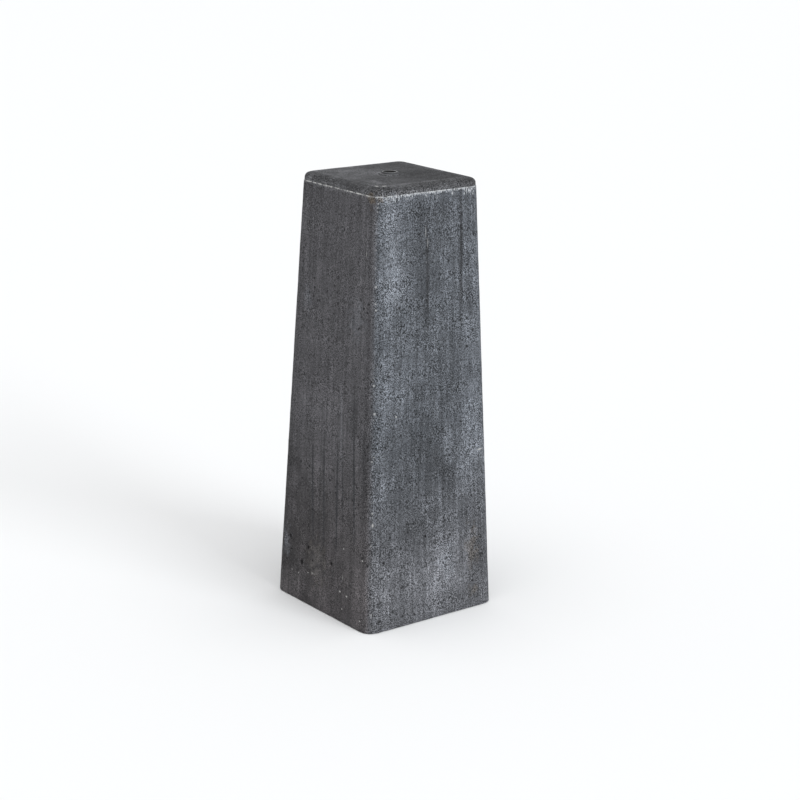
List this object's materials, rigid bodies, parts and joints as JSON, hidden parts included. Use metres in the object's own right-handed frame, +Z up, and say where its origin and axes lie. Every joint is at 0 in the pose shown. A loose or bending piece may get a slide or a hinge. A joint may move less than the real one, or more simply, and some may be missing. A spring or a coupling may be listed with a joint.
{
  "type": "tapered concrete post base block with cast-in threaded socket",
  "caption": "Tapered square post base block, 500 mm high, cast in anthracite concrete, with rounded arrises, a mould seam, a soft rim and an M16 threaded steel socket in its flat top.",
  "frame": {"origin": "middle of the underside", "axes": "+Z up along the block's height, X and Y square to the four tapered sides"},
  "size_m": [0.185, 0.185, 0.5015],
  "materials": {
    "anthracite_concrete": "cast concrete, matt, mottled anthracite with pale lime bloom, runs and small air holes",
    "zinc_plated_steel": "thin zinc plate, dulled, with cement film on the mouth"
  },
  "bodies": {
    "root": {"concrete_block": "anthracite_concrete", "threaded_insert": "zinc_plated_steel"}
  },
  "joints": []
}
